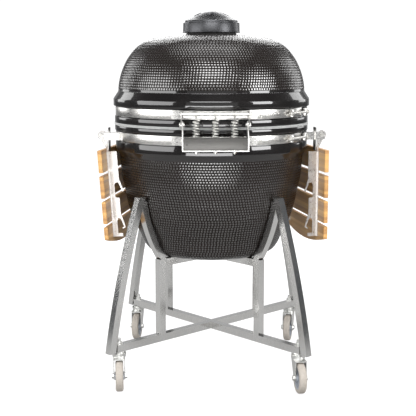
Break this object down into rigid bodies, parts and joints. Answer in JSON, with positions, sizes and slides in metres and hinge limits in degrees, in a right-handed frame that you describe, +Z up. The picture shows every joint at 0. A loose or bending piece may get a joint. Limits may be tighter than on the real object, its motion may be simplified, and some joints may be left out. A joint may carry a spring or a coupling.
{
  "type": "kamado grill",
  "caption": "Egg-shaped ceramic charcoal grill with sprung lid, turning vent and folding bamboo side tables on a wheeled steel stand",
  "frame": {"origin": "on the floor, under the middle of the whole grill, where the kettle's axis meets it", "axes": "+Z up; -Y is the hinge side; +Y is the cook's side with handle, thermometer and draft door; +X is to the right as seen from the hinge side"},
  "size_m": [0.7555, 0.798, 1.211],
  "materials": {
    "black_glaze": "dimpled black ceramic glaze, glossy",
    "felt": "light grey felt",
    "polished_steel": "polished stainless steel",
    "dark_steel": "dark brushed metal",
    "spring_steel": "bright spring wire",
    "fire_clay": "unglazed fired clay",
    "grate_iron": "rough cast iron",
    "bamboo": "oiled bamboo, laminated strips",
    "dial_face": "white enamel dial",
    "needle_red": "red enamel",
    "lens_glass": "clear flat glass",
    "zinc": "zinc-plated pressed steel",
    "hub_grey": "grey-blue moulded plastic",
    "tyre_grey": "beige-grey rubber tread"
  },
  "bodies": {
    "kettle": {"bowl": "black_glaze", "bowl_gasket": "felt", "lower_band": "polished_steel", "lower_clamp_bolt": "polished_steel", "hinge_bracket": "polished_steel", "hinge_cover": "dark_steel", "hinge_pins": "polished_steel", "springs": "spring_steel", "spring_screws": "polished_steel", "fire_box": "fire_clay", "fire_ring": "fire_clay", "charcoal_grate": "grate_iron", "cooking_grate": "polished_steel", "draft_frame": "polished_steel", "ember_screen": "polished_steel", "table_brackets": "polished_steel", "table_bolts": "polished_steel", "leg_front_right": "polished_steel", "leg_front_left": "polished_steel", "leg_back_left": "polished_steel", "leg_back_right": "polished_steel", "rails": "polished_steel", "posts": "polished_steel", "lower_bar_long": "polished_steel", "lower_bar_halves": "polished_steel", "upper_bar_long": "polished_steel", "upper_bar_halves": "polished_steel", "caster_stems": "zinc"},
    "lid": {"dome": "black_glaze", "dome_gasket": "felt", "upper_band": "polished_steel", "upper_clamp_bolt": "polished_steel", "hinge_arms": "polished_steel", "spring_bar": "polished_steel", "handle_grip": "bamboo", "handle_arms": "polished_steel", "thermometer_case": "polished_steel", "thermometer_dial": "dial_face", "thermometer_lens": "lens_glass", "vent_base": "dark_steel"},
    "needle": {"thermometer_needle": "needle_red"},
    "vent": {"vent_cap": "dark_steel"},
    "door": {"draft_door": "polished_steel"},
    "right_table": {"right_table_slats": "bamboo", "right_table_arms": "polished_steel"},
    "left_table": {"left_table_slats": "bamboo", "left_table_arms": "polished_steel"},
    "caster_front_left": {"caster_fork_front_left": "zinc"},
    "wheel_front_left": {"caster_hub_front_left": "hub_grey", "caster_tyre_front_left": "tyre_grey"},
    "caster_front_right": {"caster_fork_front_right": "zinc"},
    "wheel_front_right": {"caster_hub_front_right": "hub_grey", "caster_tyre_front_right": "tyre_grey"},
    "caster_back_right": {"caster_fork_back_right": "zinc"},
    "wheel_back_right": {"caster_hub_back_right": "hub_grey", "caster_tyre_back_right": "tyre_grey"},
    "caster_back_left": {"caster_fork_back_left": "zinc"},
    "wheel_back_left": {"caster_hub_back_left": "hub_grey", "caster_tyre_back_left": "tyre_grey"}
  },
  "joints": [
    {"name": "dome_hinge", "type": "hinge", "parent": "kettle", "child": "lid", "pos_m": [0, -0.35, 0.857], "axis": [1, 0, 0], "range_deg": [0, 70], "deforming": ["springs"]},
    {"name": "vent_turn", "type": "hinge", "parent": "lid", "child": "vent", "pos_m": [0, 0, 1.2], "axis": [0, 0, 1], "range_deg": [0, 36]},
    {"name": "needle_turn", "type": "hinge", "parent": "lid", "child": "needle", "pos_m": [0, 0.304, 1.004], "axis": [0, 0.9563, 0.2924], "range_deg": [-270, 0]},
    {"name": "draft_door_slide", "type": "hinge", "parent": "kettle", "child": "door", "pos_m": [0, 0, 0.477], "axis": [0, 0, 1], "range_deg": [0, 17]},
    {"name": "right_table_fold", "type": "hinge", "parent": "kettle", "child": "right_table", "pos_m": [0.33483, 0.05904, 0.807], "axis": [0.1736, -0.9848, 0], "range_deg": [0, 90]},
    {"name": "left_table_fold", "type": "hinge", "parent": "kettle", "child": "left_table", "pos_m": [-0.33483, 0.05904, 0.807], "axis": [0.1736, 0.9848, 0], "range_deg": [0, 94]},
    {"name": "swivel_front_left", "type": "hinge", "parent": "kettle", "child": "caster_front_left", "pos_m": [-0.26928, 0.30652, 0.11], "axis": [0, 0, 1], "continuous": true},
    {"name": "spin_front_left", "type": "hinge", "parent": "caster_front_left", "child": "wheel_front_left", "pos_m": [-0.27366, 0.27886, 0.05], "axis": [-0.9877, 0.1564, 0], "continuous": true},
    {"name": "swivel_front_right", "type": "hinge", "parent": "kettle", "child": "caster_front_right", "pos_m": [0.30652, 0.26928, 0.11], "axis": [0, 0, 1], "continuous": true},
    {"name": "spin_front_right", "type": "hinge", "parent": "caster_front_right", "child": "wheel_front_right", "pos_m": [0.29927, 0.24224, 0.05], "axis": [-0.9659, 0.2588, 0], "continuous": true},
    {"name": "swivel_back_right", "type": "hinge", "parent": "kettle", "child": "caster_back_right", "pos_m": [0.26928, -0.30652, 0.11], "axis": [0, 0, 1], "continuous": true},
    {"name": "spin_back_right", "type": "hinge", "parent": "caster_back_right", "child": "wheel_back_right", "pos_m": [0.27269, -0.33431, 0.05], "axis": [-0.9925, -0.1219, 0], "continuous": true},
    {"name": "swivel_back_left", "type": "hinge", "parent": "kettle", "child": "caster_back_left", "pos_m": [-0.30652, -0.26928, 0.11], "axis": [0, 0, 1], "continuous": true},
    {"name": "spin_back_left", "type": "hinge", "parent": "caster_back_left", "child": "wheel_back_left", "pos_m": [-0.30456, -0.29721, 0.05], "axis": [-0.9976, -0.0698, 0], "continuous": true}
  ]
}
